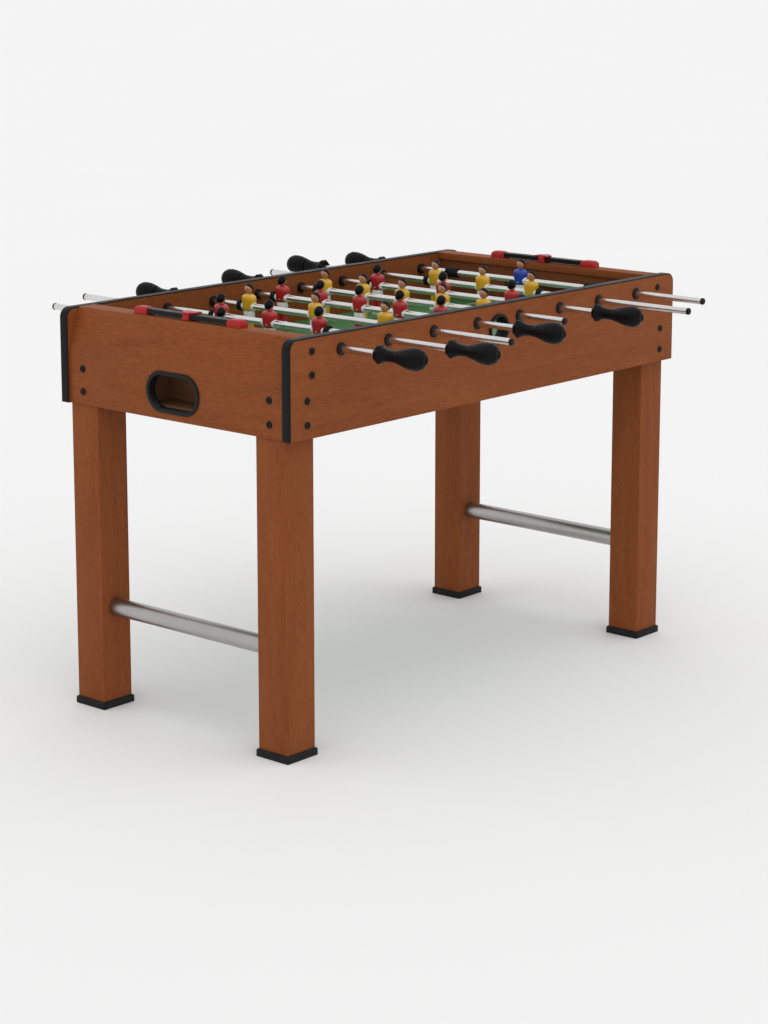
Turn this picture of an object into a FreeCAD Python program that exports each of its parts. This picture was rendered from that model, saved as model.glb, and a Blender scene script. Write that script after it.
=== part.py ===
"""Foosball table: wooden cabinet on four square legs, with eight sliding and spinning rods.

Frame: millimetres, origin on the floor under the middle of the playfield, +X along the length
from the left goal to the right goal, +Y from the front side to the rear side, +Z up.
Each node is written to its own STEP file in parts/.
"""
import FreeCAD
import Part
import math
import os
from collections import namedtuple

V = FreeCAD.Vector

# ---- cabinet ---------------------------------------------------------------------------------
TABLE_LENGTH = 1200.0        # over the side panels' end trim
TABLE_WIDTH = 615.0          # over the outer faces of the side panels
TABLE_HEIGHT = 800.0         # floor to the top of the side panels
CABINET_DEPTH = 187.0        # height of the side and end panels
SIDE_THICKNESS = 20.0
EDGE_TRIM = 2.5              # thickness of the edge band on the side panels
SIDE_CORNER_R = 20.0
END_SETBACK = 6.0            # end panel's outer face, in from the side panels' ends
END_THICKNESS = 15.0
END_CREASE_DROP = 78.0       # top of the end panel down to where it starts to lean in
END_LEAN = 27.0              # how far the leaning part comes in at the top
END_TOP_WIDTH = 41.0
END_TOP_OVERHANG = 6.0       # the top lip past the goal wall, over the field
GOAL_WALL_THICKNESS = 18.0
GOAL_WIDTH = 200.0
GOAL_HEIGHT = 62.0
GOAL_CORNER_R = 12.0
PLAYFIELD_Z = 697.0          # playing surface
PLAYFIELD_THICKNESS = 6.0
BALL_DROP_LIP = 3.0          # field left in front of the drop slot, inside the goal wall

# ---- legs ------------------------------------------------------------------------------------
LEG_SIZE = 74.0
LEG_PROUD = 3.0              # the exposed leg's outer face, in from the end panel's outer face
FOOT_SIZE = 82.0
FOOT_HEIGHT = 15.0
FOOT_EDGE = 2.0
LEG_BAR_D = 36.0
LEG_BAR_WALL = 2.0
LEG_BAR_Z = 205.0
LEG_BAR_SOCKET = 8.0

# ---- ball ways -------------------------------------------------------------------------------
RETURN_Z = 666.0
RETURN_LENGTH = 126.0        # clear opening
RETURN_HEIGHT = 64.0
RETURN_RING = 8.0            # width of the visible ring
RETURN_PROUD = 3.0
RETURN_SLEEVE = 3.0          # wall of the sleeve through the end panel
BALL_BOX_DEPTH = 79.0
BALL_BOX_WALL = 6.0
BALL_BOX_DROP = 3.0          # box floor below the clear opening
ENTRY_Z = 750.0
ENTRY_BORE = 42.0
ENTRY_MOUTH = 50.0
ENTRY_FLANGE_D = 60.0
ENTRY_PROUD = 5.0
ENTRY_SLEEVE_D = 50.0

# ---- fixings ---------------------------------------------------------------------------------
CAP_D = 14.0
CAP_PROUD = 2.5
SCREW_D = 5.0
SCREW_BITE = 18.0            # screw past the side panel, in the goal wall
SCREW_Z = (774.0, 730.0)
BOLT_D = 6.0
SIDE_BOLT_BITE = 30.0
END_BOLT_BITE = 28.0
BOLT_Z = (684.0, 639.0)

# ---- score counters --------------------------------------------------------------------------
SCORE_LENGTH = 285.0
SCORE_BLOCK = (25.0, 36.0, 15.0)
SCORE_BLOCK_R = 5.0
SCORE_RAIL = (18.0, 9.0)     # width, height
SCORE_RAIL_LIFT = 3.4
SCORE_RAIL_SEAT = 12.0       # rail length held in each end block
SCORE_SLIDER = (30.0, 34.0, 16.5)
SCORE_FLOOR_GAP = 0.6
SLIDER_GAP = 0.3

# ---- rods ------------------------------------------------------------------------------------
ROD_COUNT = 8
ROD_PITCH = 132.15
ROD_Z = 769.0
ROD_D = 13.0
ROD_WALL = 1.8
RUN_CLEARANCE = 0.08         # radial, shaft in bushing or bumper ring
BUSHING_SLEEVE_D = 18.0
BUSHING_FLANGE_D = 24.0
BUSHING_OUTER = 4.0
BUSHING_NUT_D = 22.0
BUSHING_INNER = 7.0
BUMPER_D = 23.0
BUMPER_LENGTH = 11.0
BUMPER_GAP = 0.4             # bumper ring to the man beside it
COLLAR_LENGTH = 33.0         # the goalkeeper rod's stop collar
COLLAR_RIBS = 4
COLLAR_RIB = 1.0
PLUG_HEAD_D = 14.0
PLUG_HEAD = 6.0              # length of the plug's head, past the tube's end
PLUG_STEM = 14.0

# ---- handles ---------------------------------------------------------------------------------
GRIP_LENGTH = 113.0
GRIP_COLLAR_R = 18.5
GRIP_COLLAR_S = 8.0
GRIP_NECK_R = 11.0
GRIP_BULB_R = 21.0
GRIP_WIDEST = 0.68           # share of the bulb before its widest place
GRIP_END_WALL = 10.0
GRIP_GROOVES = 5
GRIP_GROOVE_R = 1.6
GRIP_GROOVE_PITCH = 8.6
GRIP_GROOVE_START = 62.0

# ---- players ---------------------------------------------------------------------------------
MAN_HUB_R = 11.0
MAN_HUB_HALF = 17.0
MAN_SHOULDER = 29.0
MAN_DEPTH = 17.0
MAN_SHIRT = (-9.0, 26.0)
MAN_HEAD_R = 10.6
MAN_HEAD_Z = 36.0
MAN_NECK_R = 4.6
MAN_SHORTS_Z = -25.0
MAN_ANKLE_Z = -50.0
MAN_SOLE_Z = -63.5
MAN_FOOT_WIDTH = 22.0

# A rod's role: how many players, how far it slides each way before its rings meet the bushings,
# and how far its grip tip and its bare end stand out past the side panels.
Role = namedtuple("Role", "men travel grip_out bare_out")
GOALKEEPER = Role(1, 71.5, 202.5, 172.5)
DEFENCE = Role(3, 120.1, 262.5, 227.5)
MIDFIELD = Role(5, 36.1, 210.5, 116.5)
ATTACK = Role(3, 68.1, 202.5, 192.5)

# Left to right; the sign is the side that the grip is on, and the team that it belongs to.
RODS = (
    (GOALKEEPER, -1), (DEFENCE, -1), (ATTACK, 1), (MIDFIELD, -1),
    (MIDFIELD, 1), (ATTACK, -1), (DEFENCE, 1), (GOALKEEPER, 1),
)

# ---- derived ---------------------------------------------------------------------------------
BODY_Z = TABLE_HEIGHT - CABINET_DEPTH
SIDE_Y = TABLE_WIDTH / 2
INNER_Y = SIDE_Y - SIDE_THICKNESS
END_X = TABLE_LENGTH / 2 - END_SETBACK
END_INNER_X = END_X - END_THICKNESS
END_TOP_X = END_X - END_LEAN
LIP_X = END_TOP_X - END_TOP_WIDTH
GOAL_INNER_X = LIP_X + END_TOP_OVERHANG
GOAL_OUTER_X = GOAL_INNER_X + GOAL_WALL_THICKNESS
LIP_Z = TABLE_HEIGHT - END_THICKNESS
BOARD_Z = PLAYFIELD_Z - PLAYFIELD_THICKNESS
LEG_X = END_X - LEG_PROUD - LEG_SIZE / 2
LEG_Y = INNER_Y - LEG_SIZE / 2
SCREW_X = (GOAL_INNER_X + GOAL_OUTER_X) / 2
SCORE_X = (END_TOP_X + LIP_X) / 2
SCORE_RAIL_HALF = SCORE_LENGTH / 2 - SCORE_BLOCK[1]
ROD_R = ROD_D / 2
RUN_R = ROD_R + RUN_CLEARANCE
NUT_Y = INNER_Y - BUSHING_INNER


def rings_start(role):
    """Inner end of the rings that run on a rod, from the middle."""
    length = COLLAR_LENGTH if role is GOALKEEPER else BUMPER_LENGTH
    return NUT_Y - role.travel - length


def men_y(role):
    """Where the players stand along a rod: evenly, the outer ones beside the rings."""
    if role.men == 1:
        return [0.0]
    outer = rings_start(role) - BUMPER_GAP - MAN_HUB_HALF
    step = 2 * outer / (role.men - 1)
    return [-outer + step * k for k in range(role.men)]


def grip_tip(role):
    """Outer end of a rod's grip, from the middle."""
    return SIDE_Y + role.grip_out


def bare_end(role):
    """Outer end of a rod's plug, from the middle."""
    return SIDE_Y + role.bare_out


def box(x0, x1, y0, y1, z0, z1):
    """Box between two opposite corners, given in either order."""
    low = V(min(x0, x1), min(y0, y1), min(z0, z1))
    size = (abs(x1 - x0), abs(y1 - y0), abs(z1 - z0))
    return Part.makeBox(size[0], size[1], size[2], low)


def rod_x(index):
    """X of a rod, counted from the left goal."""
    return (index - (ROD_COUNT - 1) / 2) * ROD_PITCH


def prism_y(points, y0, y1):
    """Closed XZ outline carried from y0 to y1."""
    wire = Part.makePolygon([V(x, y0, z) for x, z in points + points[:1]])
    return Part.Face(wire).extrude(V(0, y1 - y0, 0))


def obround(length, height, x0, x1, z):
    """Stadium outline in the YZ plane about (0, z), carried from x0 to x1."""
    r = height / 2
    half = length / 2 - r
    left = Part.makeCylinder(r, abs(x1 - x0), V(min(x0, x1), -half, z), V(1, 0, 0))
    right = Part.makeCylinder(r, abs(x1 - x0), V(min(x0, x1), half, z), V(1, 0, 0))
    return box(x0, x1, -half, half, z - r, z + r).fuse([left, right]).removeSplitter()


def mirror_x(shape):
    """Mirror image in the YZ plane."""
    return shape.mirror(V(0, 0, 0), V(1, 0, 0))


def mirror_y(shape):
    """Mirror image in the XZ plane."""
    return shape.mirror(V(0, 0, 0), V(0, 1, 0))


def four_corners(shape):
    """The shape and its images in X, in Y and in both."""
    pair = [shape, mirror_x(shape)]
    return pair + [mirror_y(s) for s in pair]


# ---- fixings: one pin shape serves as the fixing and as the tool that drills its hole -----------
def fixing(point, inward, shank_d, shank_length):
    """Dome cap on a face, with its shank going in."""
    outward = inward * -1
    shank = Part.makeCylinder(shank_d / 2, shank_length, point, inward)
    cap = Part.makeCylinder(CAP_D / 2, CAP_PROUD, point, outward)
    rim = [e for e in cap.Edges if e.CenterOfMass.distanceToPoint(point) > CAP_PROUD * 0.9]
    cap = cap.makeFillet(CAP_PROUD * 0.6, [e for e in rim if e.Closed])
    return cap.fuse(shank).removeSplitter()


def side_screws():
    """Screws through both side panels into the ends of the goal walls."""
    found = []
    for z in SCREW_Z:
        found += four_corners(fixing(V(SCREW_X, SIDE_Y, z), V(0, -1, 0), SCREW_D,
                                     SIDE_THICKNESS + SCREW_BITE))
    return found


def leg_bolts():
    """Bolts through the side and end panels into the legs."""
    found = []
    for z in BOLT_Z:
        found += four_corners(fixing(V(LEG_X, SIDE_Y, z), V(0, -1, 0), BOLT_D,
                                     SIDE_THICKNESS + SIDE_BOLT_BITE))
        found += four_corners(fixing(V(END_X, LEG_Y, z), V(-1, 0, 0), BOLT_D,
                                     END_THICKNESS + END_BOLT_BITE))
    return found


# ---- cabinet ---------------------------------------------------------------------------------
def side_outline(inset, y0, y1):
    """Side panel's outline with round top corners, smaller all round except at the bottom."""
    half = TABLE_LENGTH / 2 - inset
    slab = box(-half, half, y0, y1, BODY_Z, TABLE_HEIGHT - inset)
    middle_y, high_z = (y0 + y1) / 2, TABLE_HEIGHT - inset - 0.01
    top = [e for e in slab.Edges if abs(e.CenterOfMass.y - middle_y) < 0.01 and e.CenterOfMass.z > high_z]
    return slab.makeFillet(SIDE_CORNER_R - inset, top)


def side_panel():
    """Rear side panel, drilled for the rods."""
    panel = side_outline(EDGE_TRIM, INNER_Y, SIDE_Y)
    holes = [Part.makeCylinder(BUSHING_SLEEVE_D / 2, SIDE_THICKNESS, V(rod_x(i), INNER_Y, ROD_Z), V(0, 1, 0))
             for i in range(ROD_COUNT)]
    return panel.cut(holes)


def edge_trim():
    """Band round the two ends and the top of the rear side panel."""
    return side_outline(0, INNER_Y, SIDE_Y).cut(side_outline(EDGE_TRIM, INNER_Y, SIDE_Y))


def end_panel():
    """Right end: upright, then leaning in, then a flat lip over the goal wall."""
    crease_z = TABLE_HEIGHT - END_CREASE_DROP
    slope = END_LEAN / END_CREASE_DROP
    inner_top_x = END_INNER_X - slope * (LIP_Z - crease_z)
    profile = [(END_X, BODY_Z), (END_X, crease_z), (END_TOP_X, TABLE_HEIGHT), (LIP_X, TABLE_HEIGHT),
               (LIP_X, LIP_Z), (inner_top_x, LIP_Z), (END_INNER_X, crease_z), (END_INNER_X, BODY_Z)]
    panel = prism_y(profile, -INNER_Y, INNER_Y)
    return panel.cut(return_sleeve_outside())


def goal_wall():
    """Right goal wall, standing on the field board under the lip."""
    wall = box(GOAL_INNER_X, GOAL_OUTER_X, -INNER_Y, INNER_Y, PLAYFIELD_Z, LIP_Z)
    mouth = box(GOAL_INNER_X - 1, GOAL_OUTER_X + 1, -GOAL_WIDTH / 2, GOAL_WIDTH / 2,
                PLAYFIELD_Z - GOAL_CORNER_R - 1, PLAYFIELD_Z + GOAL_HEIGHT)
    side_y, high_z = GOAL_WIDTH / 2 - 0.01, PLAYFIELD_Z + GOAL_HEIGHT - 0.01
    upper = [e for e in mouth.Edges if e.CenterOfMass.z > high_z and abs(e.CenterOfMass.y) > side_y]
    return wall.cut(mouth.makeFillet(GOAL_CORNER_R, upper))


def playfield():
    """Field board with a slot behind each goal line where the ball drops."""
    board = box(-END_INNER_X, END_INNER_X, -INNER_Y, INNER_Y, BOARD_Z, PLAYFIELD_Z)
    slot = box(GOAL_INNER_X + BALL_DROP_LIP, END_INNER_X, -GOAL_WIDTH / 2, GOAL_WIDTH / 2, BOARD_Z, PLAYFIELD_Z)
    return board.cut([slot, mirror_x(slot)])


# ---- legs ------------------------------------------------------------------------------------
def leg_bar():
    """Round tube between the two right legs."""
    half = LEG_Y - LEG_SIZE / 2 + LEG_BAR_SOCKET
    start = V(LEG_X, -half, LEG_BAR_Z)
    outside = Part.makeCylinder(LEG_BAR_D / 2, 2 * half, start, V(0, 1, 0))
    return outside.cut(Part.makeCylinder(LEG_BAR_D / 2 - LEG_BAR_WALL, 2 * half, start, V(0, 1, 0)))


def leg():
    """Rear right leg: square post, rebated behind the end panel, with a socket for the bar."""
    inner_x = LEG_X - LEG_SIZE / 2
    post = box(inner_x, LEG_X + LEG_SIZE / 2, LEG_Y - LEG_SIZE / 2, INNER_Y, FOOT_HEIGHT, BODY_Z)
    head = box(inner_x, END_INNER_X, LEG_Y - LEG_SIZE / 2, INNER_Y, BODY_Z, BOARD_Z)
    socket = Part.makeCylinder(LEG_BAR_D / 2, LEG_BAR_SOCKET, V(LEG_X, LEG_Y - LEG_SIZE / 2, LEG_BAR_Z), V(0, 1, 0))
    return post.fuse(head).removeSplitter().cut(socket)


def foot_pad():
    """Rear right foot pad under the leg."""
    half = FOOT_SIZE / 2
    pad = box(LEG_X - half, LEG_X + half, LEG_Y - half, LEG_Y + half, 0, FOOT_HEIGHT)
    top = [e for e in pad.Edges if e.CenterOfMass.z > FOOT_HEIGHT - 0.01]
    return pad.makeChamfer(FOOT_EDGE, top)


# ---- ball ways -------------------------------------------------------------------------------
def return_sleeve_outside():
    """Hole in the right end panel that the return's sleeve fills."""
    grow = 2 * RETURN_SLEEVE
    return obround(RETURN_LENGTH + grow, RETURN_HEIGHT + grow, END_INNER_X, END_X, RETURN_Z)


def return_trim():
    """Right ball return: flat ring on the end panel and a sleeve through it."""
    ring = obround(RETURN_LENGTH + 2 * RETURN_RING, RETURN_HEIGHT + 2 * RETURN_RING,
                   END_X, END_X + RETURN_PROUD, RETURN_Z)
    hole = obround(RETURN_LENGTH, RETURN_HEIGHT, END_INNER_X, END_X + RETURN_PROUD, RETURN_Z)
    return ring.fuse(return_sleeve_outside()).removeSplitter().cut(hole)


def ball_box():
    """Right ball box under the drop slot, open at the top and towards the return."""
    floor_z = RETURN_Z - RETURN_HEIGHT / 2 - BALL_BOX_DROP
    half = GOAL_WIDTH / 2
    back_x = END_INNER_X - BALL_BOX_DEPTH
    shell = box(back_x - BALL_BOX_WALL, END_INNER_X, -half - BALL_BOX_WALL, half + BALL_BOX_WALL,
                floor_z - BALL_BOX_WALL, BOARD_Z)
    return shell.cut(box(back_x, END_INNER_X, -half, half, floor_z, BOARD_Z))


def entry_hole():
    """Hole in the front side panel for the ball entry."""
    return Part.makeCylinder(ENTRY_SLEEVE_D / 2, SIDE_THICKNESS, V(0, -SIDE_Y, ENTRY_Z), V(0, 1, 0))


def entry_cup():
    """Ball entry: flange outside, sleeve through the panel, tapered way in."""
    face_y = -SIDE_Y - ENTRY_PROUD
    flange = Part.makeCylinder(ENTRY_FLANGE_D / 2, ENTRY_PROUD, V(0, face_y, ENTRY_Z), V(0, 1, 0))
    way = Part.makeCone(ENTRY_MOUTH / 2, ENTRY_BORE / 2, ENTRY_PROUD + SIDE_THICKNESS / 2,
                        V(0, face_y, ENTRY_Z), V(0, 1, 0))
    bore = Part.makeCylinder(ENTRY_BORE / 2, SIDE_THICKNESS, V(0, -SIDE_Y, ENTRY_Z), V(0, 1, 0))
    return flange.fuse(entry_hole()).removeSplitter().cut([way, bore])


# ---- score counters --------------------------------------------------------------------------
def score_rail():
    """Right score rail, held up off the lip by its end blocks."""
    half = SCORE_RAIL_HALF + SCORE_RAIL_SEAT
    z0 = TABLE_HEIGHT + SCORE_RAIL_LIFT
    return box(SCORE_X - SCORE_RAIL[0] / 2, SCORE_X + SCORE_RAIL[0] / 2, -half, half, z0, z0 + SCORE_RAIL[1])


def score_block():
    """Block at the rear end of the right score rail."""
    half_x = SCORE_BLOCK[0] / 2
    block = box(SCORE_X - half_x, SCORE_X + half_x, SCORE_RAIL_HALF, SCORE_RAIL_HALF + SCORE_BLOCK[1],
                TABLE_HEIGHT, TABLE_HEIGHT + SCORE_BLOCK[2])
    keep = TABLE_HEIGHT + 0.01
    block = block.makeFillet(SCORE_BLOCK_R, [e for e in block.Edges if e.CenterOfMass.z > keep])
    return block.cut(score_rail())


def score_slider():
    """Pointer that runs along the right score rail and closes round it."""
    half_x = SCORE_SLIDER[0] / 2
    half_y = SCORE_SLIDER[1] / 2
    z0 = TABLE_HEIGHT + SCORE_FLOOR_GAP
    body = box(SCORE_X - half_x, SCORE_X + half_x, -half_y, half_y, z0, TABLE_HEIGHT + SCORE_SLIDER[2])
    upper = [e for e in body.Edges if e.CenterOfMass.z > TABLE_HEIGHT + SCORE_SLIDER[2] - 0.01]
    body = body.makeFillet(2.0, upper)
    rail_x = SCORE_RAIL[0] / 2 + SLIDER_GAP
    rail_z = TABLE_HEIGHT + SCORE_RAIL_LIFT - SLIDER_GAP
    way = box(SCORE_X - rail_x, SCORE_X + rail_x, -half_y, half_y, rail_z, rail_z + SCORE_RAIL[1] + 2 * SLIDER_GAP)
    return body.cut(way)


# ---- rods ------------------------------------------------------------------------------------
def turned(points, x=0.0, z=ROD_Z):
    """Solid turned about the line parallel to Y through (x, z), from (y, radius) points."""
    first, last = points[0], points[-1]
    outline = [V(x, first[0], z)] + [V(x, y, z + r) for y, r in points] + [V(x, last[0], z)]
    face = Part.Face(Part.makePolygon(outline + outline[:1]))
    return face.revolve(V(x, 0, z), V(0, 1, 0), 360)


def bushing(x):
    """Rear bushing: sleeve through the panel, outer flange and inner nut in one."""
    flange_r = BUSHING_FLANGE_D / 2
    nut_r = BUSHING_NUT_D / 2
    sleeve_r = BUSHING_SLEEVE_D / 2
    edge = 1.0
    outer_y = SIDE_Y + BUSHING_OUTER
    body = turned([(NUT_Y, nut_r - edge), (NUT_Y + edge, nut_r), (INNER_Y, nut_r),
                   (INNER_Y, sleeve_r), (SIDE_Y, sleeve_r), (SIDE_Y, flange_r),
                   (outer_y - edge, flange_r), (outer_y, flange_r - edge)], x)
    return body.cut(Part.makeCylinder(RUN_R, outer_y - NUT_Y, V(x, NUT_Y, ROD_Z), V(0, 1, 0)))


def rod_tube(x, role, side):
    """Steel tube from inside the grip to the end plug's head."""
    grip_y = side * (grip_tip(role) - GRIP_END_WALL)
    bare_y = -side * (bare_end(role) - PLUG_HEAD)
    low = min(grip_y, bare_y)
    length = abs(grip_y - bare_y)
    outside = Part.makeCylinder(ROD_R, length, V(x, low, ROD_Z), V(0, 1, 0))
    return outside.cut(Part.makeCylinder(ROD_R - ROD_WALL, length, V(x, low, ROD_Z), V(0, 1, 0)))


def end_plug(x, role):
    """Plug in the bare end of a rod, on the +Y side: stem in the tube, domed head outside."""
    end = bare_end(role)
    seat = end - PLUG_HEAD
    stem_r = ROD_R - ROD_WALL
    r = PLUG_HEAD_D / 2
    return turned([(seat - PLUG_STEM, stem_r - 1.0), (seat - PLUG_STEM + 1.0, stem_r), (seat, stem_r), (seat, r),
                   (end - 3.0, r), (end - 1.2, r - 1.2), (end - 0.3, r - 3.2), (end, r - 5.0)], x)


def grip_profile():
    """(distance from the inner end, radius) points of a grip, without its grooves."""
    bulb_start = GRIP_COLLAR_S * 5
    bulb_length = GRIP_LENGTH - bulb_start
    points = [(0.0, GRIP_COLLAR_R - 3.0), (GRIP_COLLAR_S / 2, GRIP_COLLAR_R - 0.6), (GRIP_COLLAR_S, GRIP_COLLAR_R),
              (GRIP_COLLAR_S * 2, GRIP_NECK_R + 2.6), (GRIP_COLLAR_S * 3, GRIP_NECK_R + 0.5)]
    points.append((GRIP_COLLAR_S * 4, GRIP_NECK_R))
    for step in range(1, 9):
        rise = math.sin(math.pi / 2 * step / 8) ** 1.5
        points.append((bulb_start + bulb_length * GRIP_WIDEST * step / 8,
                       GRIP_NECK_R + (GRIP_BULB_R - GRIP_NECK_R) * rise))
    for step in range(1, 9):
        turn = math.pi / 2 * step / 8
        points.append((bulb_start + bulb_length * (GRIP_WIDEST + (1 - GRIP_WIDEST) * math.sin(turn)),
                       GRIP_BULB_R * math.cos(turn) ** 0.55 if step < 8 else 5.0))
    return points


def radius_at(points, s):
    """Radius of a profile at distance s."""
    for (s0, r0), (s1, r1) in zip(points, points[1:]):
        if s0 <= s <= s1:
            return r0 + (r1 - r0) * (s - s0) / (s1 - s0)
    return points[-1][1]


def grip(x, role):
    """Hand grip with its tip at +Y: eight-sided collar, neck and grooved bulb."""
    start = grip_tip(role) - GRIP_LENGTH
    points = grip_profile()
    body = turned([(start + s, r) for s, r in points], x)
    corners = []
    for k in range(9):
        angle = math.radians(22.5 + 45 * k)
        corners.append(V(x + GRIP_COLLAR_R * math.cos(angle), start, ROD_Z + GRIP_COLLAR_R * math.sin(angle)))
    flats_length = GRIP_COLLAR_S * 3
    octagon = Part.Face(Part.makePolygon(corners)).extrude(V(0, flats_length, 0))
    shell = Part.makeCylinder(GRIP_BULB_R + 5, flats_length, V(x, start, ROD_Z), V(0, 1, 0)).cut(octagon)
    cuts = [shell, Part.makeCylinder(ROD_R, GRIP_LENGTH - GRIP_END_WALL, V(x, start, ROD_Z), V(0, 1, 0))]
    for k in range(GRIP_GROOVES):
        s = GRIP_GROOVE_START + k * GRIP_GROOVE_PITCH
        cuts.append(Part.makeTorus(radius_at(points, s) + GRIP_GROOVE_R * 0.35, GRIP_GROOVE_R,
                                   V(x, start + s, ROD_Z), V(0, 1, 0)))
    return body.cut(cuts)


def stop_rings(x, role):
    """What runs loose on the rod at +Y: a bumper ring, or the goalkeeper's ribbed stop collar."""
    r = BUMPER_D / 2
    start = rings_start(role)
    length, ribs = (COLLAR_LENGTH, COLLAR_RIBS) if role is GOALKEEPER else (BUMPER_LENGTH, 1)
    width = length / ribs
    points = []
    for k in range(ribs):
        y = start + k * width
        points += [(y, r - COLLAR_RIB), (y + COLLAR_RIB, r), (y + width - COLLAR_RIB, r), (y + width, r - COLLAR_RIB)]
        if k < ribs - 1:
            points.pop()
            points.append((y + width - COLLAR_RIB / 2, r - COLLAR_RIB))
    ring = turned(points, x)
    return ring.cut(Part.makeCylinder(RUN_R, length, V(x, start, ROD_Z), V(0, 1, 0)))


def player():
    """One player about the origin, facing +X, with the rod along Y."""
    half_y = MAN_SHOULDER / 2
    half_x = MAN_DEPTH / 2
    shirt = box(-half_x, half_x, -half_y, half_y, MAN_SHIRT[0], MAN_SHIRT[1])
    shirt = shirt.makeFillet(6.0, [e for e in shirt.Edges if e.CenterOfMass.z > MAN_SHIRT[0] + 0.01])
    hub = Part.makeCylinder(MAN_HUB_R, 2 * MAN_HUB_HALF, V(0, -MAN_HUB_HALF, 0), V(0, 1, 0))
    shorts = box(-half_x + 1, half_x - 1, -half_y + 1, half_y - 1, MAN_SHORTS_Z, MAN_SHIRT[0])
    neck = Part.makeCylinder(MAN_NECK_R, MAN_HEAD_Z - MAN_SHIRT[1] + 4, V(0, 0, MAN_SHIRT[1] - 4))
    head = Part.makeSphere(MAN_HEAD_R, V(0, 0, MAN_HEAD_Z))
    shin = prism_y([(-6.5, MAN_SHORTS_Z), (6.5, MAN_SHORTS_Z), (5.5, MAN_ANKLE_Z), (-5.5, MAN_ANKLE_Z)],
                   -MAN_FOOT_WIDTH / 2, MAN_FOOT_WIDTH / 2)
    foot = prism_y([(-6.0, MAN_ANKLE_Z), (6.0, MAN_ANKLE_Z), (10.0, MAN_SOLE_Z + 4.0), (8.5, MAN_SOLE_Z),
                    (-7.0, MAN_SOLE_Z), (-8.5, MAN_SOLE_Z + 4.0)], -MAN_FOOT_WIDTH / 2, MAN_FOOT_WIDTH / 2)
    body = shirt.fuse([hub, shorts, neck, head, shin, foot]).removeSplitter()
    return body.cut(Part.makeCylinder(ROD_R, 2 * MAN_HUB_HALF, V(0, -MAN_HUB_HALF, 0), V(0, 1, 0)))


def players(x, role, side):
    """The players on a rod; the front team faces +X, the rear team -X."""
    found = []
    for y in men_y(role):
        man = player()
        if side > 0:
            man.rotate(V(0, 0, 0), V(0, 0, 1), 180)
        man.translate(V(x, y, ROD_Z))
        found.append(man)
    return found


def save(node, solids):
    """Write one node's STEP file from a solid or a list of separate solids."""
    shape = solids if isinstance(solids, Part.Shape) else Part.makeCompound(solids)
    shape.exportStep("parts/" + node + ".step")


def build_cabinet():
    """Panels, field, goal walls and what is fixed to them."""
    screws = side_screws()
    bolts = leg_bolts()
    panel = side_panel().cut(screws + bolts)
    save("rear_side_panel", panel)
    save("front_side_panel", mirror_y(panel).cut(entry_hole()))
    save("rear_edge_trim", edge_trim())
    save("front_edge_trim", mirror_y(edge_trim()))
    end = end_panel().cut(bolts)
    save("right_end_panel", end)
    save("left_end_panel", mirror_x(end))
    wall = goal_wall().cut(screws)
    save("right_goal_wall", wall)
    save("left_goal_wall", mirror_x(wall))
    save("playfield", playfield())
    save("panel_screws", screws)
    save("leg_bolts", bolts)


def build_legs():
    """Legs, their feet and the bars between them."""
    rear_right = leg().cut(leg_bolts())
    save("rear_right_leg", rear_right)
    save("rear_left_leg", mirror_x(rear_right))
    save("front_right_leg", mirror_y(rear_right))
    save("front_left_leg", mirror_x(mirror_y(rear_right)))
    save("foot_pads", four_corners(foot_pad()))
    save("right_leg_bar", leg_bar())
    save("left_leg_bar", mirror_x(leg_bar()))


def build_ball_ways():
    """Ball returns, ball boxes and the entry."""
    save("ball_return_trims", [return_trim(), mirror_x(return_trim())])
    save("ball_boxes", [ball_box(), mirror_x(ball_box())])
    save("ball_entry_cup", entry_cup())


def build_score_counters():
    """Both score counters."""
    save("score_rails", [score_rail(), mirror_x(score_rail())])
    save("score_end_blocks", four_corners(score_block()))
    save("right_score_slider", score_slider())
    save("left_score_slider", mirror_x(score_slider()))


def build_rods():
    """Bushings, then each rod with its players, grip, end plug and loose rings."""
    bushings = [bushing(rod_x(i)) for i in range(ROD_COUNT)]
    save("rod_bushings", bushings + [mirror_y(b) for b in bushings])
    for index, (role, side) in enumerate(RODS):
        name = "rod_" + str(index + 1)
        x = rod_x(index)
        save(name + "_tube", rod_tube(x, role, side))
        save(name + "_players", players(x, role, side))
        hand, plug = grip(x, role), mirror_y(end_plug(x, role))
        if side < 0:
            hand, plug = mirror_y(hand), mirror_y(plug)
        save(name + "_grip", [hand, plug])
        ring = stop_rings(x, role)
        save(name + "_stops", [ring, mirror_y(ring)])


os.makedirs("parts", exist_ok=True)
build_cabinet()
build_legs()
build_ball_ways()
build_score_counters()
build_rods()
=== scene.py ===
"""Looks of a foosball table: finishes and detailed pieces over its fixed CAD frame."""

import logging
import math
from dataclasses import dataclass, field
from enum import Enum
from typing import Callable, Iterable, Optional, Sequence

import bmesh
import bpy
from mathutils import Matrix, Vector


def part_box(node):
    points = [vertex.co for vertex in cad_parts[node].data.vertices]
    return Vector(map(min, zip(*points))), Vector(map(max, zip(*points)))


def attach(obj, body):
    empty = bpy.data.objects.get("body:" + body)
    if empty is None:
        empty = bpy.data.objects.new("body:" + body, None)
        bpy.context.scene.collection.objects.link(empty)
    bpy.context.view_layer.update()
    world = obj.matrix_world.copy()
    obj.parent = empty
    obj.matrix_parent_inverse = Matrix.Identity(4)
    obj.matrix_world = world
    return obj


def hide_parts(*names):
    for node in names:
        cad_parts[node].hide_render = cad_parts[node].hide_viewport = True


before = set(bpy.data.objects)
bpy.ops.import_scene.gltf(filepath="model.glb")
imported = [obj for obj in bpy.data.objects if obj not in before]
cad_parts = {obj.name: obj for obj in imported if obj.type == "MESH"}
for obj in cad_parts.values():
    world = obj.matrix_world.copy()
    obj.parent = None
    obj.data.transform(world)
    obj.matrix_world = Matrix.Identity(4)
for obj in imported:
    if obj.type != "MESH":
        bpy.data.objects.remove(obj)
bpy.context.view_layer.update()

LOG = logging.getLogger("foosball_table")
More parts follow.
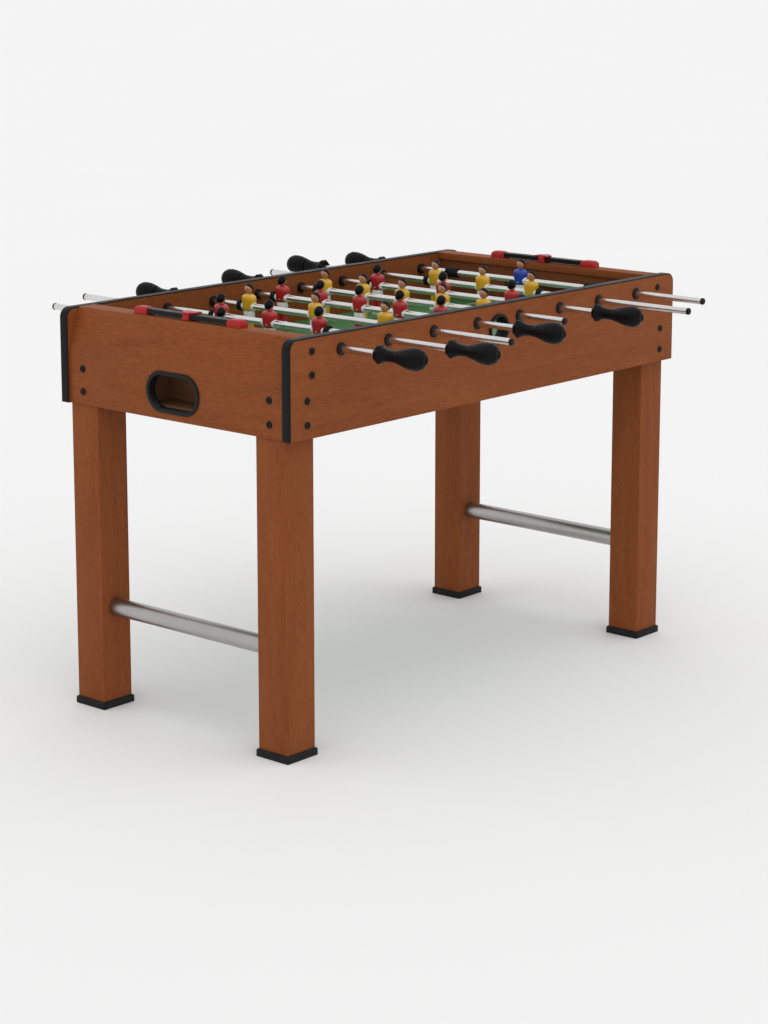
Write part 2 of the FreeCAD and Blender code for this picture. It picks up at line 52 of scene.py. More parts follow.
MM = 0.001
Colour = tuple[float, float, float]
Point = tuple[float, float, float]


# ---- wiring ------------------------------------------------------------------------------------
def wire(tree: bpy.types.NodeTree, kind: str, sockets: Optional[dict] = None,
         **settings: object) -> bpy.types.Node:
    """Add a node to a tree, set its properties and fill its sockets.

    Args:
        tree: The node tree.
        kind: The node's type name.
        sockets: Values or output sockets by input name or number.
        settings: Properties of the node.

    Returns:
        The new node.
    """
    made = tree.nodes.new(kind)
    for key, value in settings.items():
        setattr(made, key, value)
    for key, value in (sockets or {}).items():
        if isinstance(value, bpy.types.NodeSocket):
            tree.links.new(value, made.inputs[key])
        else:
            made.inputs[key].default_value = value
    return made


class Bench:
    """One material being wired, with its shader and its coordinates."""

    def __init__(self, name: str) -> None:
        """Start an empty material with a Principled shader."""
        self.material = bpy.data.materials.new(name)
        self.material.use_nodes = True
        self.tree = self.material.node_tree
        self.tree.nodes.clear()
        self.shader = wire(self.tree, "ShaderNodeBsdfPrincipled")
        out = wire(self.tree, "ShaderNodeOutputMaterial")
        self.tree.links.new(self.shader.outputs[0], out.inputs[0])
        self.place = wire(self.tree, "ShaderNodeTexCoord").outputs["Object"]

    def set(self, **values: object) -> None:
        """Set shader sockets; underscores stand for spaces."""
        for key, value in values.items():
            socket = self.shader.inputs[key.replace("_", " ")]
            if isinstance(value, bpy.types.NodeSocket):
                self.tree.links.new(value, socket)
            else:
                socket.default_value = value

    def stretched(self, scale: Point) -> bpy.types.NodeSocket:
        """Object coordinates, scaled."""
        return wire(self.tree, "ShaderNodeMapping", {"Vector": self.place, "Scale": scale}).outputs[0]

    def noise(self, where: bpy.types.NodeSocket, scale: float, detail: float = 4.0, rough: float = 0.55,
              swirl: float = 0.0) -> bpy.types.NodeSocket:
        """Value of a noise texture."""
        sockets = {"Vector": where, "Scale": scale, "Detail": detail, "Roughness": rough,
                   "Distortion": swirl}
        return wire(self.tree, "ShaderNodeTexNoise", sockets).outputs[0]

    def ramp(self, value: bpy.types.NodeSocket,
             stops: Sequence[tuple[float, Colour]]) -> bpy.types.NodeSocket:
        """Colour of a ramp.

        Args:
            value: What drives the ramp.
            stops: Position and colour of each stop.

        Returns:
            The colour output.
        """
        made = wire(self.tree, "ShaderNodeValToRGB", {0: value})
        while len(made.color_ramp.elements) < len(stops):
            made.color_ramp.elements.new(0.5)
        for element, (position, colour) in zip(made.color_ramp.elements, stops):
            element.position = position
            element.color = (*colour, 1.0)
        return made.outputs[0]

    def span(self, value: bpy.types.NodeSocket, low: float, high: float, start: float = 0.0,
             end: float = 1.0) -> bpy.types.NodeSocket:
        """A value carried from one range to another."""
        sockets = {0: value, 1: start, 2: end, 3: low, 4: high}
        return wire(self.tree, "ShaderNodeMapRange", sockets).outputs[0]

    def mix(self, share: object, first: object, second: object, how: str = "MIX") -> bpy.types.NodeSocket:
        """Mix of two colours."""
        return wire(self.tree, "ShaderNodeMix", {0: share, 6: first, 7: second}, data_type="RGBA",
                    blend_type=how).outputs[2]

    def math(self, how: str, first: object, second: object = 0.0) -> bpy.types.NodeSocket:
        """Result of one sum."""
        return wire(self.tree, "ShaderNodeMath", {0: first, 1: second}, operation=how).outputs[0]

    def bump(self, height: bpy.types.NodeSocket, strength: float, depth: float) -> None:
        """Raise the surface by a height, to a depth in metres."""
        sockets = {"Height": height, "Strength": strength, "Distance": depth}
        made = wire(self.tree, "ShaderNodeBump", sockets)
        self.tree.links.new(made.outputs[0], self.shader.inputs["Normal"])


class Grain(Enum):
    """The way that wood grain runs."""

    ALONG_X = 0
    ALONG_Y = 1
    ALONG_Z = 2


@dataclass(frozen=True)
class Wood:
    """Lacquered wood: long figure, fine streaks and pores along the grain."""

    name: str
    grain: Grain
    dark: Colour = (0.180, 0.046, 0.012)
    middle: Colour = (0.238, 0.066, 0.018)
    light: Colour = (0.285, 0.086, 0.026)
    gloss: float = 0.56

    def make(self) -> bpy.types.Material:
        """Wire the material."""
        b = Bench(self.name)

        def along(run: float, across: float) -> bpy.types.NodeSocket:
            """Coordinates stretched along the grain."""
            scale = [across] * 3
            scale[self.grain.value] = run
            return b.stretched(tuple(scale))

        figure = b.noise(along(1.1, 9.0), 3.0, 6.0, 0.6, 0.8)
        streak = b.noise(along(15.0, 210.0), 3.0, 4.0, 0.6, 0.2)
        fleck = b.noise(along(26.0, 300.0), 3.0, 2.0, 0.5)
        tone = b.math("ADD", b.math("MULTIPLY", figure, 0.40), b.math("MULTIPLY", streak, 0.60))
        colour = b.ramp(tone, ((0.34, self.dark), (0.50, self.middle), (0.68, self.light)))
        pores = b.span(fleck, 0.80, 1.0, 0.36, 0.48)
        colour = b.mix(1.0, colour, b.ramp(pores, ((0.0, (0, 0, 0)), (1.0, (1, 1, 1)))), "MULTIPLY")
        b.set(Base_Color=colour, Roughness=b.span(streak, self.gloss - 0.05, self.gloss + 0.08, 0.3, 0.7),
              Specular_IOR_Level=0.10)
        b.bump(b.math("ADD", b.math("MULTIPLY", streak, 0.5), fleck), 0.16, 0.00018)
        return b.material


@dataclass(frozen=True)
class Moulded:
    """Moulded plastic or paint: a colour that drifts a little, with a fine skin."""

    name: str
    colour: Colour
    roughness: float = 0.4
    skin: float = 0.12
    skin_scale: float = 900.0
    coat: float = 0.0
    drift: float = 0.16
    shine: float = 0.5

    def make(self) -> bpy.types.Material:
        """Wire the material."""
        b = Bench(self.name)
        cloud = b.noise(b.place, 26.0, 3.0)
        low = tuple(c * (1.0 - self.drift) for c in self.colour)
        high = tuple(min(c * (1.0 + self.drift), 1.0) for c in self.colour)
        fine = b.noise(b.place, self.skin_scale, 2.0)
        b.set(Base_Color=b.ramp(cloud, ((0.3, low), (0.7, high))),
              Roughness=b.span(cloud, self.roughness - 0.05, self.roughness + 0.07, 0.3, 0.7),
              Coat_Weight=self.coat, Coat_Roughness=0.08, Specular_IOR_Level=self.shine)
        b.bump(fine, self.skin, 0.0001)
        return b.material


@dataclass(frozen=True)
class Rubber:
    """Matt rubber with a dusty, pitted skin."""

    name: str
    colour: Colour = (0.010, 0.010, 0.011)

    def make(self) -> bpy.types.Material:
        """Wire the material."""
        b = Bench(self.name)
        dust = b.noise(b.place, 70.0, 5.0, 0.65)
        pits = b.noise(b.place, 1300.0, 3.0)
        light = tuple(c * 2.4 for c in self.colour)
        b.set(Base_Color=b.ramp(dust, ((0.4, self.colour), (0.8, light))),
              Roughness=b.span(dust, 0.52, 0.72, 0.3, 0.7), Specular_IOR_Level=0.14)
        b.bump(pits, 0.2, 0.00012)
        return b.material


@dataclass(frozen=True)
class Steel:
    """Steel with fine turning marks round Y."""

    name: str
    colour: Colour = (0.74, 0.73, 0.725)
    roughness: float = 0.20
    brushed: float = 0.05

    def make(self) -> bpy.types.Material:
        """Wire the material."""
        b = Bench(self.name)
        marks = b.noise(b.stretched((6.0, 520.0, 6.0)), 3.0, 3.0)
        smear = b.noise(b.place, 14.0, 3.0)
        dim = tuple(c * 0.9 for c in self.colour)
        b.set(Base_Color=b.ramp(smear, ((0.3, dim), (0.7, self.colour))), Metallic=1.0,
              Roughness=b.math("ADD", b.span(marks, self.roughness, self.roughness + self.brushed, 0.3, 0.7),
                               b.span(smear, 0.0, 0.04, 0.3, 0.7)))
        b.bump(marks, 0.05, 0.00005)
        return b.material


@dataclass(frozen=True)
class FieldLaminate:
    """Green field with its white lines, laid out about the middle of the table."""

    name: str
    half_length: float
    line: float = 0.0045
    circle: float = 0.078
    box_length: float = 0.150
    box_half: float = 0.165
    goal_box_length: float = 0.068
    goal_box_half: float = 0.110

    def make(self) -> bpy.types.Material:
        """Wire the material."""
        b = Bench(self.name)
        split = wire(b.tree, "ShaderNodeSeparateXYZ", {0: b.place})
        x = b.math("ABSOLUTE", split.outputs[0])
        y = b.math("ABSOLUTE", split.outputs[1])
        reach = b.math("SQRT", b.math("ADD", b.math("MULTIPLY", x, x), b.math("MULTIPLY", y, y)))

        def near(value: object, target: float) -> bpy.types.NodeSocket:
            """One where a value is within half a line of a target."""
            off = b.math("ABSOLUTE", b.math("SUBTRACT", value, target))
            return b.math("LESS_THAN", off, self.line / 2)

        def both(first: object, second: object) -> bpy.types.NodeSocket:
            """One where both are one."""
            return b.math("MULTIPLY", first, second)

        def penalty(length: float, half: float) -> bpy.types.NodeSocket:
            """Lines of a box in front of each goal."""
            front = self.half_length - length
            across = both(near(x, front), b.math("LESS_THAN", y, half))
            beside = both(near(y, half), b.math("GREATER_THAN", x, front))
            return b.math("MAXIMUM", across, beside)

        lines = near(split.outputs[0], 0.0)
        spot = b.math("LESS_THAN", reach, self.line * 1.2)
        for part in (near(reach, self.circle), penalty(self.box_length, self.box_half), spot,
                     penalty(self.goal_box_length, self.goal_box_half)):
            lines = b.math("MAXIMUM", lines, part)
        scuff = b.noise(b.place, 9.0, 6.0, 0.6)
        fibre = b.noise(b.place, 650.0, 2.0)
        green = b.ramp(scuff, ((0.3, (0.036, 0.185, 0.058)), (0.7, (0.052, 0.235, 0.078))))
        painted = b.math("MULTIPLY", lines, b.span(scuff, 0.82, 0.95, 0.3, 0.7))
        worn = b.mix(painted, green, (0.72, 0.74, 0.70, 1.0))
        b.set(Base_Color=worn, Roughness=b.span(scuff, 0.34, 0.46, 0.3, 0.7), Coat_Weight=0.15,
              Coat_Roughness=0.2)
        b.bump(fibre, 0.08, 0.00008)
        return b.material


class Team(Enum):
    """The shirts on a rod."""

    RED = "red"
    YELLOW = "yellow"
    KEEPER = "blue"


class Finishes:
    """Every finish on the table, made once."""

    GOAL_LINE_INSET = 44.0 * MM

    def __init__(self) -> None:
        """Make the materials."""
        # The goal walls wear a darker copy of the same wood: painted shade for walls that sit in shadow under
        # the end lips.
        inner = ((0.140, 0.040, 0.014), (0.195, 0.058, 0.021), (0.240, 0.079, 0.030))
        raw = ((0.24, 0.118, 0.058), (0.30, 0.150, 0.078), (0.36, 0.185, 0.100))
        field_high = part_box("playfield")[1]
        self.panel_wood = Wood("panel_wood", Grain.ALONG_X).make()
        self.end_wood = Wood("end_wood", Grain.ALONG_Y).make()
        self.leg_wood = Wood("leg_wood", Grain.ALONG_Z).make()
        self.goal_wood = Wood("goal_wood", Grain.ALONG_Y, *inner).make()
        self.box_wood = Wood("box_wood", Grain.ALONG_Y, *raw).make()
        self.trim = Moulded("trim_black", (0.007, 0.0075, 0.008), 0.45, shine=0.11).make()
        self.plastic = Moulded("plastic_black", (0.007, 0.007, 0.008), 0.40, shine=0.16).make()
        self.cap = Moulded("cap_black", (0.005, 0.006, 0.008), 0.28, shine=0.14).make()
        self.grip = Moulded("grip_black", (0.003, 0.003, 0.0035), 0.34, 0.12, 700.0, shine=0.10).make()
        self.score_red = Moulded("score_red", (0.36, 0.010, 0.010), 0.32, 0.06, coat=0.04, drift=0.08,
                                 shine=0.22).make()
        self.foot = Rubber("foot_rubber", (0.010, 0.010, 0.011)).make()
        self.ring = Rubber("ring_rubber", (0.006, 0.006, 0.007)).make()
        self.rod = Steel("rod_steel").make()
        self.bar = Steel("bar_steel", (0.46, 0.45, 0.44), 0.26, 0.10).make()
        self.screw = Steel("screw_steel", (0.40, 0.41, 0.40), 0.35, 0.1).make()
        self.field = FieldLaminate("field_green", field_high.x - self.GOAL_LINE_INSET).make()
        shirts = ((Team.RED, (0.40, 0.012, 0.016), 0.10), (Team.YELLOW, (0.66, 0.36, 0.012), 0.12),
                  (Team.KEEPER, (0.012, 0.045, 0.36), 0.12))
        self.shirts = {team: Moulded("shirt_" + team.value, colour, 0.30, 0.08, 500.0, 0.2, drift).make()
                       for team, colour, drift in shirts}
        self.kit_white = Moulded("kit_white", (0.74, 0.74, 0.73), 0.30, 0.06, 500.0, 0.25, 0.05).make()
        self.skin = Moulded("painted_skin", (0.45, 0.205, 0.108), 0.36, 0.06, 500.0, 0.15, 0.08).make()
        self.hair = Moulded("painted_hair", (0.004, 0.004, 0.005), 0.36, 0.5, 260.0, shine=0.12).make()


# ---- mesh work ----------------------------------------------------------------------------------
def oval(z: float, rx: float, ry: float, power: float = 2.0, cx: float = 0.0, cy: float = 0.0,
         count: int = 28) -> list[Point]:
    """Closed ring at one height.

    Args:
        z: Height.
        rx: Half depth.
        ry: Half width.
        power: Two for an ellipse, more for a squarer ring.
        cx: Centre in X.
        cy: Centre in Y.
        count: Points in the ring.

    Returns:
        The ring's points, anticlockwise from above.
    """
    found = []
    for k in range(count):
        a = 2 * math.pi * k / count
        c, s = math.cos(a), math.sin(a)
        found.append((cx + math.copysign(abs(c) ** (2 / power), c) * rx,
                      cy + math.copysign(abs(s) ** (2 / power), s) * ry, z))
    return found


def skin_rings(bm: bmesh.types.BMesh, rings: Sequence[Sequence[Point]]) -> None:
    """Join rings of equal count into a closed skin with capped ends."""
    rows = [[bm.verts.new(p) for p in ring] for ring in rings]
    count = len(rows[0])
    for low, high in zip(rows, rows[1:]):
        for k in range(count):
            n = (k + 1) % count
            bm.faces.new((low[k], low[n], high[n], high[k]))
    bm.faces.new(list(reversed(rows[0])))
    bm.faces.new(rows[-1])


def turn_profile(bm: bmesh.types.BMesh, profile: Sequence[tuple[float, float]], count: int = 40,
                 squareness: Callable[[float, float], float] = lambda s, a: 1.0) -> None:
    """Turn (y, radius) points about Y into a closed skin.

    Args:
        bm: Where the skin goes.
        profile: Points from one end to the other.
        count: Points round the axis.
        squareness: Factor on the radius at a distance and an angle.
    """
    rings = []
    for y, r in profile:
        ring = []
        for k in range(count):
            a = 2 * math.pi * k / count
            reach = r * squareness(y, a)
            ring.append((reach * math.sin(a), y, reach * math.cos(a)))
        rings.append(ring)
    skin_rings(bm, rings)


def turn_verts(bm: bmesh.types.BMesh, verts: Iterable[bmesh.types.BMVert], degrees: float,
               axis: str) -> None:
    """Turn vertices about an axis through the origin."""
    turn = Matrix.Rotation(math.radians(degrees), 3, axis)
    bmesh.ops.rotate(bm, verts=verts, cent=(0, 0, 0), matrix=turn)


def finish_mesh(bm: bmesh.types.BMesh, name: str, sharp: float = 35.0) -> bpy.types.Mesh:
    """Close a bmesh into a mesh with outward normals and smooth shading below an angle."""
    bmesh.ops.remove_doubles(bm, verts=bm.verts, dist=1e-6)
    bmesh.ops.recalc_face_normals(bm, faces=bm.faces)
    mesh = bpy.data.meshes.new(name)
    bm.to_mesh(mesh)
    bm.free()
    mesh.shade_smooth()
    mesh.set_sharp_from_angle(angle=math.radians(sharp))
    return mesh


def add_object(name: str, mesh: bpy.types.Mesh,
               material: Optional[bpy.types.Material] = None) -> bpy.types.Object:
    """Put a mesh in the scene at the origin, with a material."""
    made = bpy.data.objects.new(name, mesh)
    bpy.context.scene.collection.objects.link(made)
    if material is not None:
        mesh.materials.clear()
        mesh.materials.append(material)
    return made


def softened(node: str, name: str, width: float, material: bpy.types.Material, body: str) -> bpy.types.Object:
    """A node's own shape with its hard edges eased, standing for the node.

    Args:
        node: The CAD node.
        name: Name of the new piece.
        width: Width of the eased edge, in metres.
        material: Its finish.
        body: The body that it rides on.

    Returns:
        The new piece.
    """
    bm = bmesh.new()
    bm.from_mesh(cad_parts[node].data)
    bmesh.ops.remove_doubles(bm, verts=bm.verts, dist=2e-6)
    bmesh.ops.dissolve_limit(bm, angle_limit=math.radians(0.4), verts=bm.verts, edges=bm.edges)
    hard = [e for e in bm.edges if len(e.link_faces) == 2 and e.calc_face_angle(0.0) > math.radians(33)]
    bmesh.ops.bevel(bm, geom=hard, offset=width, segments=3, profile=0.5, affect="EDGES",
                    clamp_overlap=True)
    piece = add_object(name, finish_mesh(bm, name, 40.0), material)
    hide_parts(node)
    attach(piece, body)
    return piece


def dress(material: bpy.types.Material, *nodes: str) -> None:
    """Give CAD nodes that keep their own shape a finish."""
    for node in nodes:
        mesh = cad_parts[node].data
        mesh.materials.clear()
        mesh.materials.append(material)
        LOG.info("node %s wears %s", node, material.name)


class Aim(Enum):
    """Which axis of a repeated part turns to face its direction, and about what."""

    NOSE_X = ("X", "Z")
    NOSE_Z = ("Z", "AUTO")


class Repeater:
    """Geometry Nodes tree that sets one part on every point, facing each point's direction."""

    def __init__(self, name: str, aim: Aim) -> None:
        """Build the tree with its named inputs."""
        tree = bpy.data.node_groups.new(name, "GeometryNodeTree")
        face = tree.interface
        face.new_socket("Points", in_out="INPUT", socket_type="NodeSocketGeometry")
        self.part = face.new_socket("Part", in_out="INPUT", socket_type="NodeSocketObject").identifier
        self.size = face.new_socket("Size", in_out="INPUT", socket_type="NodeSocketFloat").identifier
        self.finish = face.new_socket("Finish", in_out="INPUT", socket_type="NodeSocketMaterial").identifier
        face.new_socket("Geometry", in_out="OUTPUT", socket_type="NodeSocketGeometry")
        given = wire(tree, "NodeGroupInput")
        part = wire(tree, "GeometryNodeObjectInfo", {"Object": given.outputs["Part"]})
        way = wire(tree, "GeometryNodeInputNamedAttribute", {"Name": "facing"}, data_type="FLOAT_VECTOR")
        turn = wire(tree, "FunctionNodeAlignRotationToVector", {"Vector": way.outputs[0]}, axis=aim.value[0],
                    pivot_axis=aim.value[1])
        copies = wire(tree, "GeometryNodeInstanceOnPoints",
                      {"Points": given.outputs["Points"], "Instance": part.outputs["Geometry"],
                       "Rotation": turn.outputs[0], "Scale": given.outputs["Size"]})
        real = wire(tree, "GeometryNodeRealizeInstances", {0: copies.outputs[0]})
        dressed = wire(tree, "GeometryNodeSetMaterial",
                       {"Geometry": real.outputs[0], "Material": given.outputs["Finish"]})
        wire(tree, "NodeGroupOutput", {0: dressed.outputs[0]})
        self.tree = tree

    def set_out(self, name: str, places: Sequence[Point], facings: Sequence[Point], part: bpy.types.Mesh,
                material: bpy.types.Material, size: float = 1.0) -> bpy.types.Object:
        """Repeat a part and turn the result into one plain mesh.

        Args:
            name: Name of the piece.
            places: Where the copies go, in metres.
            facings: The direction of each copy.
            part: The mesh to repeat, about its own origin.
            material: The finish.
            size: Scale of every copy.

        Returns:
            The baked piece.
        """
        mesh = bpy.data.meshes.new(name + "_points")
        mesh.from_pydata(places, [], [])
        attribute = mesh.attributes.new("facing", "FLOAT_VECTOR", "POINT")
        attribute.data.foreach_set("vector", [v for way in facings for v in way])
        carrier = add_object(name + "_carrier", mesh)
        seed = add_object(name + "_part", part)
        modifier = carrier.modifiers.new("set_out", "NODES")
        modifier.node_group = self.tree
        modifier[self.part] = seed
        modifier[self.size] = size
        modifier[self.finish] = material
        graph = bpy.context.evaluated_depsgraph_get()
        baked = bpy.data.meshes.new_from_object(carrier.evaluated_get(graph))
        bpy.data.objects.remove(carrier)
        bpy.data.objects.remove(seed)
        baked.name = name
        if "facing" in baked.attributes:
            baked.attributes.remove(baked.attributes["facing"])
        return add_object(name, baked)


def settle(piece: bpy.types.Object, body: str, slot: str, *stands_for: str) -> bpy.types.Object:
    """Ride a piece on a body and hide the nodes that it stands for."""
    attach(piece, body)
    if stands_for:
        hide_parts(*stands_for)
    LOG.info("piece %s on %s, %d faces", piece.name, body, len(piece.data.polygons))
    return piece


# ---- cabinet -------------------------------------------------------------------------------------
@dataclass
class Cabinet:
    """Panels, trim, field, goal walls and what is fixed to them."""

    finishes: Finishes
    edge: float = 0.8 * MM
    cap_radius: float = 7.0 * MM
    cap_height: float = 2.5 * MM
    screw_x: float = 541.0 * MM
    screw_z: tuple[float, float] = (774.0 * MM, 730.0 * MM)
    bolt_x: float = 554.0 * MM
    bolt_y: float = 250.5 * MM
    bolt_z: tuple[float, float] = (684.0 * MM, 639.0 * MM)

    def build(self) -> None:
        """Build and dress everything on the cabinet."""
        f = self.finishes
        dress(f.panel_wood, "front_side_panel", "rear_side_panel")
        dress(f.field, "playfield")
        dress(f.box_wood, "ball_boxes")
        dress(f.plastic, "score_rails")
        self.score_blocks()
        self.score_sliders()
        for side in ("front", "rear"):
            softened(side + "_edge_trim", side + "_trim_band", self.edge, f.trim, "table")
        for end in ("left", "right"):
            softened(end + "_end_panel", end + "_end_board", self.edge, f.end_wood, "table")
            softened(end + "_goal_wall", end + "_goal_board", self.edge, f.goal_wood, "table")
        softened("ball_return_trims", "return_rings", self.edge, f.plastic, "table")
        softened("ball_entry_cup", "entry_ring", self.edge, f.plastic, "table")
        self.caps()

    def score_blocks(self) -> None:
        """Rounded blocks at the ends of both score rails."""
        low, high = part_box("score_end_blocks")
        half_x, half_y = 12.5, 18.0
        rows = ((0.0, half_x, half_y, 9.0), (8.0, half_x, half_y, 9.0), (11.0, 11.8, 17.0, 7.0),
                (13.2, 10.2, 15.0, 5.5), (14.5, 8.0, 12.6, 4.5), (15.0, 5.6, 10.0, 4.0))
        bm = bmesh.new()
        for sx in (-1, 1):
            for sy in (-1, 1):
                x, y = sx * (high.x / MM - half_x), sy * (high.y / MM - half_y)
                skin_rings(bm, [oval(low.z + z * MM, rx * MM, ry * MM, p, x * MM, y * MM, 40)
                                for z, rx, ry, p in rows])
        piece = add_object("score_blocks", finish_mesh(bm, "score_blocks", 50.0), self.finishes.score_red)
        settle(piece, "table", "score_red", "score_end_blocks")

    def score_sliders(self) -> None:
        """Pointers that ride on the rails: a saddle under a notched arrow plate."""
        arrow = ((-15.0, -5.0), (-9.0, -9.0), (-4.0, -17.0), (15.0, -17.0), (8.0, 0.0), (15.0, 17.0),
                 (-4.0, 17.0), (-9.0, 9.0), (-15.0, 5.0))
        for end, way in (("left", 1.0), ("right", -1.0)):
            node = end + "_score_slider"
            low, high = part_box(node)
            x, top = (low.x + high.x) / 2, high.z
            bm = bmesh.new()
            rows = ((low.z, 13.4, 8.0), (low.z + 0.8 * MM, 14.0, 8.4), (top - 4.6 * MM, 13.2, 8.0),
                    (top - 2.4 * MM, 11.6, 7.0))
            skin_rings(bm, [oval(z, rx * MM, ry * MM, 9.0, x, 0.0, 32) for z, rx, ry in rows])
            levels = ((top - 3.6 * MM, 0.96), (top - 3.1 * MM, 1.0), (top - 0.9 * MM, 1.0), (top, 0.92))
            plate = [[(x + way * px * k * MM, py * k * MM, z) for px, py in arrow] for z, k in levels]
            skin_rings(bm, plate)
            settle(add_object(end + "_score_pointer", finish_mesh(bm, node, 30.0), self.finishes.score_red),
                   node, "score_red", node)

    def cap_mesh(self) -> bpy.types.Mesh:
        """Cap with a round rim about a sunk centre, nose along +Z."""
        bm = bmesh.new()
        r, h = self.cap_radius, self.cap_height
        profile = [(-0.4 * MM, r * 0.98), (h * 0.35, r), (h * 0.66, r * 0.97), (h * 0.90, r * 0.88),
                   (h, r * 0.76), (h * 0.94, r * 0.64), (h * 0.50, r * 0.55), (h * 0.30, r * 0.50),
                   (h * 0.30, r * 0.24), (h * 0.50, r * 0.16)]
        turn_profile(bm, profile, 28)
        turn_verts(bm, bm.verts, 90, "X")
        return finish_mesh(bm, "cap", 60.0)

    def caps(self) -> None:
        """Set the caps on the panels."""
        low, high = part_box("front_side_panel")[0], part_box("rear_side_panel")[1]
        end_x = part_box("right_end_panel")[1].x
        places: dict[str, list[tuple[Point, Point]]] = {"panel_screws": [], "leg_bolts": []}
        for sx in (-1, 1):
            for side_y, way in ((low.y, -1), (high.y, 1)):
                for z in self.screw_z:
                    places["panel_screws"].append(((sx * self.screw_x, side_y, z), (0, way, 0)))
                for z in self.bolt_z:
                    places["leg_bolts"].append(((sx * self.bolt_x, side_y, z), (0, way, 0)))
                    places["leg_bolts"].append(((sx * end_x, way * self.bolt_y, z), (sx, 0, 0)))
        repeater = Repeater("fixings_on_faces", Aim.NOSE_Z)
        for node, found in places.items():
            piece = repeater.set_out(node + "_caps", [p for p, _ in found], [w for _, w in found],
                                     self.cap_mesh(), self.finishes.cap)
            settle(piece, "table", "fixing_black", node)


@dataclass
class Stand:
    """Legs, foot pads and the bars between the legs."""

    finishes: Finishes
    leg_edge: float = 1.4 * MM
    foot_edge: float = 1.0 * MM

    def build(self) -> None:
        """Build and dress the stand."""
        f = self.finishes
        for side in ("front", "rear"):
            for end in ("left", "right"):
                corner = f"{side}_{end}"
                softened(corner + "_leg", corner + "_post", self.leg_edge, f.leg_wood, "table")
        softened("foot_pads", "feet", self.foot_edge, f.foot, "table")
        dress(f.bar, "left_leg_bar", "right_leg_bar")


